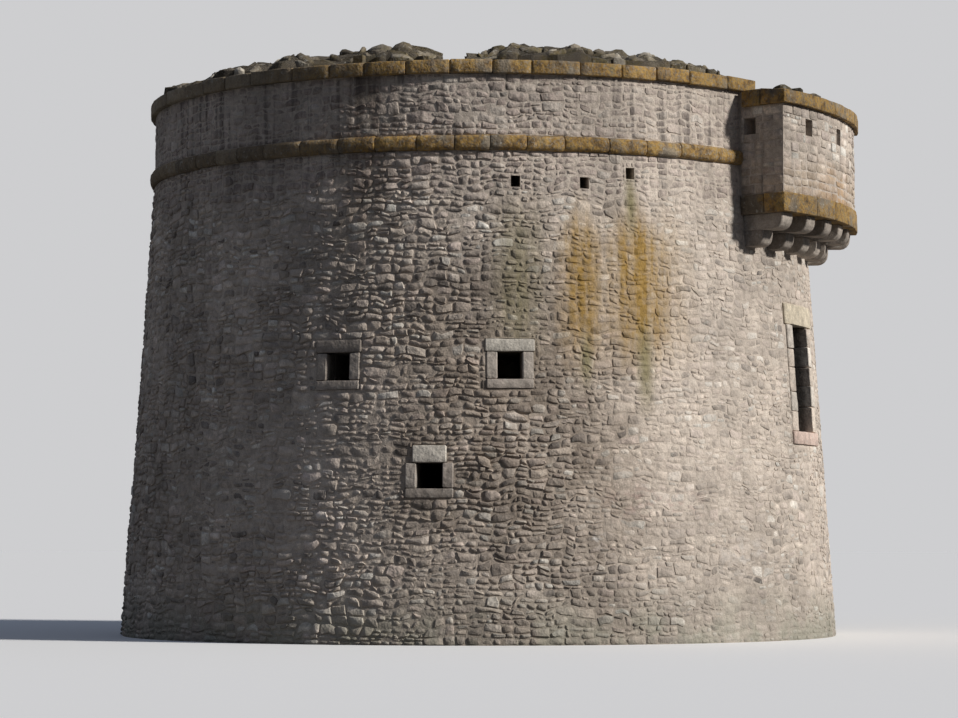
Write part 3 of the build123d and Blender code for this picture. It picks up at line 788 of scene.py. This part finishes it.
corners = boxCorners(*tower["coping"], bands["fall"])
style = {**cutStone, "jog": 0.009, "edge": 0.02}
addArcs(batch, corners, unevenJoints(*aroundTop, bands["copingStone"]), copingRadius, style)
finishPiece("coping_stones", batch, "lichenStone", "coping")


def addGalleryBand(name, foot, head, fall, inJoints, style, sideCorners):  # over its front and along its cheeks
    end, radii, sideRadius = bands[name]
    joints = [-end, *inJoints, end]
    addArcs(batch, boxCorners(*radii, foot, head, fall), joints, bands["measured"], style)
    for side in (-1, 1):
        addArcs(batch, sideCorners, sorted((side * recessHalf, side * end)), sideRadius, cutStone)
    finishPiece(name + "_stones", batch, "lichenStone", name)


foot, head, r = tower["galleryFloor"], tower["galleryFoot"], bands["bandSide"]
sideCorners = [(wallRadius(foot), foot), (r, foot), (r, head), (wallRadius(head), head)]
addGalleryBand("gallery_band", foot, head, 0, corbelBearings[1:-1], cutStone, sideCorners)
foot, head = tower["galleryCoping"], copingFoot
joints = [bands["gallery_coping"][0] * (2 * i / 5 - 1) for i in range(1, 5)]
sideCorners = boxCorners(*bands["copingSides"], foot, head)
addGalleryBand("gallery_coping", foot, head, bands["fall"], joints, {**cutStone, "jog": 0.007}, sideCorners)

inner, stepStone = tower["stepRadius"], bands["stepStone"]
corners = boxCorners(inner, well, tower["stepSplit"], tower["stepHead"])
addArcs(batch, corners, unevenJoints(*around, stepStone), well, cutStone)
corners = boxCorners(inner, well, platform, tower["stepSplit"])
drainHalf = degrees(drainWide / 2 / 3.7)
stops = sorted([side * b % 360 for side in (-1, 1) for b, _ in drains])
ends = [around[0], *(b + side * drainHalf for b in stops for side in (-1, 1)), around[1]]
for low, high in zip(ends[::2], ends[1::2]):  # the drains pass between its lower stones
    addArcs(batch, corners, unevenJoints(low, high, stepStone), well, cutStone)
finishPiece("firing_step_stones", batch, "pavingStone", "firing_step")
print("bands and copings made")

# Corbels, and the dressed stones round the doorway and the loops
blockStone = {"edge": 0.016, "joint": 0.008, "step": 0.11, "jog": 0.003, "rough": 0.009}
blockSharp = 28
# corbels take the darker part of the palette: painted shade from the gallery above
corbelStyle = {**blockStone, "jog": 0.006, "hues": (0, 0.35)}
corbels = {
    "lower_corbels": (6.33, 6.02),  # foot and nose
    "upper_corbels": (6.59, 6.4), "tall": 0.26, "bend": 0.17, "half": 0.15,
    "tail": 0.45,  # depth in the wall
    "edge": 0.014, "steps": (0.12, 0.1),
}
for name in ("lower_corbels", "upper_corbels"):
    (foot, nose), edge = corbels[name], corbels["edge"]
    tail, head = wallRadius(foot) - corbels["tail"], foot + corbels["tall"]
    corners = [(tail, foot), *rounding(nose, foot, corbels["bend"], 4), (nose, head), (tail, head)]
    profile = softProfile(corners, edge, corbels["steps"][0])
    stations = stationsAlong(-corbels["half"], corbels["half"], 0, edge, corbels["steps"][1])
    for bearing in corbelBearings:
        addSwept(batch, profile, stations, squareSpot(bearing, False), corbelStyle)
    finishPiece(name + "_stones", batch, "dressedStone", name, blockSharp)


def addBlock(batch, bearing, back, sides, foot, head, proud, hues=(0, 1)):
    edge, joint, step = (blockStone[size] for size in ("edge", "joint", "step"))
    foot, head = foot + joint / 2, head - joint / 2
    corners = [(back, foot), (wallRadius(foot) + proud, foot), (wallRadius(head) + proud, head), (back, head)]
    stations = stationsAlong(*sides, joint, edge, step)
    addSwept(batch, softProfile(corners, edge, step), stations, squareSpot(bearing), {**blockStone, "hues": hues})


doorway = {
    "half": 0.4, "jambDeep": 0.35, "sillDeep": 0.45, "jambStone": (0.28, 0.42),
    "proud": 0.04, "jambProud": (0.018, 0.032),
}
doorSill, doorHead = tower["doorSill"], tower["doorHead"]
jambBack = wallRadius((doorSill + doorHead) / 2) - doorway["jambDeep"]
for name, (halfWide, foot, head), back, material in (
    ("door_lintel", doorStones[0], jambBack, "lintelStone"),
    ("door_sill", doorStones[2], wallRadius(doorSill) - doorway["sillDeep"], "sillStone"),
):
    addBlock(batch, 0, back, (-halfWide, halfWide), foot, head, doorway["proud"])
    finishPiece(name + "_stone", batch, material, name, blockSharp)
for side in (-1, 1):
    z = doorSill
    for tall in shares(doorHead - doorSill, *doorway["jambStone"]):
        ends = sorted((side * doorway["half"], side * doorStones[1][0]))
        addBlock(batch, 0, jambBack, ends, z, z + tall, dice.uniform(*doorway["jambProud"]))
        z += tall
finishPiece("door_jamb_stones", batch, "jambStone", "door_jambs", blockSharp)

loopPale = {  # tints of lintel, outer and inner jamb and sill, from the wall's to the palest
    "front": ((0.8, 0.95), (0.35, 0.55), (0.4, 0.6), (0.05, 0.2)),
    "low": ((0.75, 0.9), (0.25, 0.45), (0, 0.08), (0, 0.08)),  # the inner jamb is nearer the doorway
    "side": ((0, 0.15), (0.2, 0.4), (0.1, 0.3), (0, 0.1)),
}
loopStones = {"deep": 0.3, "lintels": 0.034, "sills": 0.03, "jambs": (0.02, 0.034)}  # in the wall, and out of it
loopParts = {part: newBatch() for part in ("lintels", "jambs", "sills")}
for loop in loops:
    halfMouth, middle = loop["mouth"]
    back = wallRadius(middle) - loopStones["deep"]
    lintel, (jambHalf, *jambEnds), sill = loop["stones"]
    for bearing in loop["bearings"]:
        kind = "side" if abs(bearing) > 80 else "front" if middle > tower["boards"] else "low"
        over, outer, inner, under = loopPale[kind]
        for part, (halfWide, *ends), hues in (("lintels", lintel, over), ("sills", sill, under)):
            addBlock(loopParts[part], bearing, back, (-halfWide, halfWide), *ends, loopStones[part], hues)
        for side in (-1, 1):
            sides = sorted((side * halfMouth, side * jambHalf))
            hues, proud = outer if side * bearing > 0 else inner, dice.uniform(*loopStones["jambs"])
            addBlock(loopParts["jambs"], bearing, back, sides, *jambEnds, proud, hues)
for part, gathered in loopParts.items():
    finishPiece("loop_stone_" + part, gathered, "dressedStone", "loop_" + part, blockSharp)

pivot = {"radii": (0.06, 0.45), "head": 7.6, "edge": 0.02, "step": 0.1, "sides": 48}
stations = [tau * k / pivot["sides"] for k in range(pivot["sides"])]
profile = softProfile(boxCorners(*pivot["radii"], platform, pivot["head"]), pivot["edge"], pivot["step"])
addSwept(batch, profile, stations, atBearing, blockStone, True)
finishPiece("pivot_block", batch, "dressedStone", "pivot_stone")
print("dressed stones made")

# Rough capping: a mortar bed with rubble in it, broken off at the lost stretch
capping = {
    "lost": (285.6, 291.8), "foot": 8.85,
    "outer": (4.99, 9.11),  # radius and height
    "crest": (4.18, 9.51), "inner": (4.09, 9.42),
    "toe": (5.42, 0.34),  # mean radius of its ragged toe, and how far that wanders
    "toeLimits": (5.03, 5.6),
    "overCoping": (5.2, 9.1),  # where its unevenness along the wall is read
    "thick": 0.17,  # over the coping's back
    "rough": 0.06, "broken": 0.16, "step": 0.11,
    "middle": 4.7,  # radius at which its stones are measured
    "rubbleRadii": (4.22, 5.48),
}
lostLow, lostHigh = (radians(b) for b in capping["lost"])


def toeRadius(t):
    q = Vector(atBearing(t, *capping["overCoping"]))
    (mean, spread), (least, most) = capping["toe"], capping["toeLimits"]
    return min(most, max(least, mean + spread * (noise(q * 1.1) + 0.5 * noise(q * 3.1))))


def fromLost(t):  # distance from the lost stretch
    return max(lostLow - t, t - lostHigh) * capping["middle"]


def bedHeight(t, r):
    (r1, z1), (r2, z2) = capping["outer"], capping["crest"]
    q = Vector(atBearing(t, *capping["overCoping"]))
    toe = toeRadius(t)
    back = z1 + capping["thick"] * (0.85 + 0.9 * noise(q * 2.3)) * min(1, (toe - r1) / 0.3)
    if r > r1:
        z = z1 + (back - z1) * min(1, 0.35 + 1.1 * max(0, toe - r) / (toe - r1))
    else:
        z = back + (z2 - back) * (r1 - r) / (r1 - r2)
    spot = Vector(atBearing(t, r, z))
    z += capping["rough"] * (1.1 * noise(spot * 1.1) + noise(spot * 2.6) + 0.7 * noise(spot * 6.1))
    tall = z - capping["foot"]
    fallen = max(0, 1 - fromLost(t) / 0.5) ** 2 * tall * (0.25 + 0.35 * noise(spot * 5))
    return z - min(fallen, tall - 0.04)


def onBed(s, r, h):
    t = s / capping["middle"]
    return atBearing(t, r, bedHeight(t, r) + h)


def addCappingBed(batch, low, high):
    a, b = radians(low), radians(high)
    count, across = int((b - a) * capping["middle"] / capping["step"]), 13
    (r1, z1), (r2, _), (r3, z3), foot = (capping[part] for part in ("outer", "crest", "inner", "foot"))
    start = len(batch["verts"])
    for k in range(count + 1):
        t = a + (b - a) * k / count
        toe = toeRadius(t)
        profile = [(r1 - 0.006, foot + 0.01), (r1 - 0.006, z1 - 0.02), (toe, z1 - 0.06)]
        radii = [toe - 0.03 + (r2 + 0.03 - toe) * i / across for i in range(across + 1)]
        profile += [(r, bedHeight(t, r)) for r in radii]
        head = min(z3, profile[-1][1] - 0.03)
        profile += [(r3, head - (head - foot) * i / 5) for i in range(6)]
        torn = max(0, 1 - fromLost(t) / 0.3) * capping["broken"] / capping["middle"]
        inward = 1 if t > lostHigh else -1
        for i, (r, z) in enumerate(profile):
            p = Vector(atBearing(t, r, z))
            shift = torn * (0.5 + noise(p * 4.3 + Vector((9, 2, 5))))
            held = i < 2 or i == len(profile) - 1
            out = 0 if held else capping["rough"] * 0.7 * noise(p * 4.9 + Vector((3, 7, 1)))
            spot = atBearing(t + inward * shift, max(r + out, r3), z)
            addPoint(batch, spot, 0.5 + 0.5 * noise(p * 3), 0.4 + 0.4 * noise(p * 1.3), 0.8)
    addTube(batch, start, len(profile), count + 1)


capRubble = {
    **rubble, "course": (0.24, 0.4), "block": (0.3, 0.7), "longest": 0.5, "tallest": 0.36, "thinnest": 0.15,
    "splitChance": 0.35, "slimmest": 2, "joint": (0.02, 0.09), "corner": (0.03, 0.1), "square": 0.2,
    "proud": (0, 0.06), "tilt": 0.2, "edge": 0.035, "rough": 0.035, "buried": 0.12, "smallest": 0.12, "missing": 0.28,
    "wander": 0.14, "ragged": 0.04,
}
(lostStart, lostEnd), middle = capping["lost"], capping["middle"]
stretches = ((aroundTop[0], lostStart), (lostEnd, aroundTop[1]))
for low, high in stretches:
    addCappingBed(batch, low, high)
    edges = (arc(low, middle) + 0.05, arc(high, middle) - 0.05, *capping["rubbleRadii"])
    layFace(batch, edges, onBed, capRubble)

# Stones on its inner face and on its ends at the recess, and crumbs on the gallery's coping
crumbs = {
    "inside": (8.87, 9.3),
    "recess": ((4.16, 4.97, 8.87, 9.09), (4.16, 4.56, 9.1, 9.28)),
    "onGallery": (-18, 18, 5.75, 6.45),  # bearings and radii
    "heaps": ((-18.6, -14.9), (14.9, 18.6)),
    "heapRadii": (5.75, 6.3),
    "measured": 6.2,
}
insideRubble = {**wellRubble, "proud": (0.004, 0.03), "missing": 0.08, "wander": 0.06}
r = capping["inner"][0] + 0.01
for low, high in stretches:
    layFace(batch, (*span(low + 2, high - 2, r), *crumbs["inside"]), roundFace(r, -1, r), insideRubble)
for side in (-1, 1):
    for edges in crumbs["recess"]:
        layFace(batch, edges, radialFace(side * recessHalf, -side), insideRubble)
r, (low, high, *radii) = crumbs["measured"], crumbs["onGallery"]
place = levelFace(copingFoot, r)
layFace(batch, (*span(low, high, r), *radii), place, {**capRubble, "proud": (0.01, 0.06), "missing": 0.35})
heap = {**capRubble, "proud": (0.05, 0.15), "missing": 0.1, "tilt": 0.4}
for ends in crumbs["heaps"]:
    layFace(batch, (*span(*ends, r), *crumbs["heapRadii"]), place, heap)
finishPiece("parapet_capping_rubble", batch, "roughCap", "parapet_capping", 48)

bareRubble = {**capRubble, "proud": (0, 0.07), "missing": 0.12, "joint": (0.015, 0.045), "block": (0.2, 0.45)}
bareCore = {"past": 0.6, "radii": (4.1, 4.98), "measured": 4.5}
past, r = bareCore["past"], bareCore["measured"]
edges = (*span(lostStart - past, lostEnd + past, r), *bareCore["radii"])
layFace(batch, edges, levelFace(capping["foot"], r), bareRubble)
finishPiece("parapet_bare_core", batch, "roughCap")
print("capping made")

# Paving: flags in rings on the platform and the ground floor, and in the recess
flag = {
    **rubble, "joint": (0.01, 0.02), "corner": (0.01, 0.03), "step": 0.2, "wander": 0.015, "ragged": 0.01,
    "proud": (0.012, 0.02), "tilt": 0.006, "edge": 0.01, "rough": 0.006,
    "inRing": (0.5, 0.85),  # lengths
    "inRow": (0.45, 0.75),
}
floors = {
    "platform": (0.46, 0.95, 1.45, 1.95, 2.45, 2.92, 3.39),  # radii of the rings' joints
    "ground": (0.02, 0.5, 1, 1.5, 2, 2.5, 3, 3.44),
    "recess": ((3.4, 3.74, 18.3), (3.74, 4.08, 18.3), (4.09, 4.6, 14.7), (4.6, 5.1, 14.7), (5.1, 5.58, 14.7)),
}


def addFlags(name, height, rows):  # a row has two radii and the bearing it reaches, a ring only the radii
    for low, high, *reach in rows:
        middle = (low + high) / 2
        place = levelFace(height, middle)
        s = arc(-reach[0], middle) if reach else dice.uniform(0, 1)
        for wide in shares(-2 * s if reach else tau * middle, *flag["inRow" if reach else "inRing"]):
            outline = outlineOf((s, s + wide, low, high), flag)
            if not reach:
                outline = wander(outline, place, [], (-endless, endless, low, high), flag)
            addStone(batch, outline, place, flag)
            s += wide
    finishPiece(name, batch, "pavingStone")


addFlags("platform_flags", platform, zip(floors["platform"], floors["platform"][1:]))
addFlags("recess_flags", platform, floors["recess"])
addFlags("ground_floor_flags", 0.2, zip(floors["ground"], floors["ground"][1:]))
print("paving made")

# Boards of the timber floor, cut to the round of the room
boards = {
    "radius": 3.585, "wide": 0.19, "gap": 0.006, "edge": 0.004,
    "joints": (-0.84, 0, 0.84),  # on these joists
    "jointed": 1.2,  # half length from which a board is jointed
    "steps": 8,
}


def halfChord(x):  # half the length of the room across x
    return sqrt(max(boards["radius"] ** 2 - x * x, 0.01))


def addBoard(batch, left, right, low, high):
    edge, steps, foot, head = boards["edge"], boards["steps"], tower["boards"], tower["boardsTop"]
    tone, hue = dice.random(), dice.random()
    start, cup = len(batch["verts"]), dice.uniform(-0.002, 0.003)
    section = [(left, foot), (right, foot), (right, head - edge), (right - edge, head)]
    section += [((left + right) / 2, head + cup), (left + edge, head), (left, head - edge)]
    for k in range(steps + 1):
        inset = edge if k in (0, steps) else 0
        for x, z in section:
            first, last = max(low, -halfChord(x)), min(high, halfChord(x))
            y = first + (last - first) * k / steps
            addPoint(batch, (x, y, z - (inset if z > foot + 0.02 else 0)), tone, hue, 0.9)
    addTube(batch, start, len(section), steps + 1)


x = -boards["radius"] + 0.03
while x < boards["radius"] - 0.05:
    right = min(x + boards["wide"] * dice.uniform(0.85, 1.15), boards["radius"] - 0.02)
    ends = [(-endless, endless)]
    if halfChord(max(abs(x), abs(right))) > boards["jointed"]:
        joint = dice.choice(boards["joints"])
        ends = [(-endless, joint - 0.002), (joint + 0.002, endless)]
    for low, high in ends:
        addBoard(batch, x, right - boards["gap"], low, high)
    x = right
finishPiece("floor_planks", batch, "plankWood", "floor_boards")

for name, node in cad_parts.items():
    node.data.materials.clear()
    node.data.materials.append(joistWood if name in ("floor_joists", "floor_boards") else limeMortar)
print("boards made, solids finished")

# Light, floor and camera
studio = {
    "sunBearing": -1, "sunHeight": 28, "sunSize": 6, "sunStrength": 3.4, "sunTint": (1, 0.965, 0.91),
    "sky": (0.08, 0.094, 0.124),
    "skyRise": (0.55, 1.7),  # its share at the horizon and overhead
    "skyOnGround": 0.7,  # between these shares, what level ground gets
    "floorBounce": (0.18, 0.18, 0.18), "floorHalf": 900, "eyeBearing": -67.2, "eyeDistance": 52, "eyeHeight": 1.5,
    "aimHeight": 4.75, "lens": 113,
}


def aim(thing, direction, axis):
    thing.rotation_mode = "QUATERNION"
    thing.rotation_quaternion = direction.to_track_quat(axis, "Y")


a, e = radians(studio["sunBearing"]), radians(studio["sunHeight"])
sunData = bpy.data.lights.new("sun", "SUN")
sunData.energy = studio["sunStrength"]
sunData.angle = radians(studio["sunSize"])
sunData.color = studio["sunTint"]
aim(addObject("sun", sunData), Vector(atBearing(a, cos(e), sin(e))), "Z")

lit = studio["sunStrength"] * sin(e) / pi
horizon, overhead = studio["skyRise"]
level = horizon + (overhead - horizon) * studio["skyOnGround"]
shown = [lit * tint + level * sky for tint, sky in zip(studio["sunTint"], studio["sky"])]

world = bpy.data.worlds.new("studioWorld")
bpy.context.scene.world = world
world.use_nodes = True
tree = world.node_tree
background = tree.nodes["Background"]
rays = addNode("LightPath", tree=tree).outputs
seen = mathOf("MAXIMUM", rays["Is Camera Ray"], rays["Is Glossy Ray"])
seen = mathOf("MAXIMUM", seen, rays["Is Transmission Ray"])
height = addNode("SeparateXYZ", {0: addNode("TexCoord", tree=tree).outputs["Generated"]}).outputs[2]
lifted = mixed(1, studio["sky"], greyOf(fade(height, 0, 1, *studio["skyRise"])), "MULTIPLY")
tree.links.new(mixed(seen, lifted, shown), background.inputs["Color"])
background.inputs["Strength"].default_value = 1

floorMaterial, tree, shader = newMaterial("studioFloor", 1, 0)
cameraRay = addNode("LightPath", tree=tree).outputs["Is Camera Ray"]
floorColour = mixed(cameraRay, studio["floorBounce"], (1, 1, 1))
tree.links.new(floorColour, shader.inputs["Base Color"])
floorMesh = bpy.data.meshes.new("studioFloor")
wide = studio["floorHalf"]
floorMesh.from_pydata([(-wide, -wide, 0), (wide, -wide, 0), (wide, wide, 0), (-wide, wide, 0)], [], [(0, 1, 2, 3)])
floorMesh.materials.append(floorMaterial)
floor = addObject("studioFloor", floorMesh)

cameraData = bpy.data.cameras.new("camera")
cameraData.lens = studio["lens"]
cameraData.clip_end = 3000
camera = addObject("camera", cameraData)
camera.location = atBearing(radians(studio["eyeBearing"]), studio["eyeDistance"], studio["eyeHeight"])
aim(camera, Vector((0, 0, studio["aimHeight"])) - camera.location, "-Z")
bpy.context.scene.camera = camera
bpy.context.scene.view_settings.view_transform = "Standard"

total = sum(triangles.values())
print("triangles:", total, "most in one piece:", max(triangles.items(), key=lambda item: item[1]))
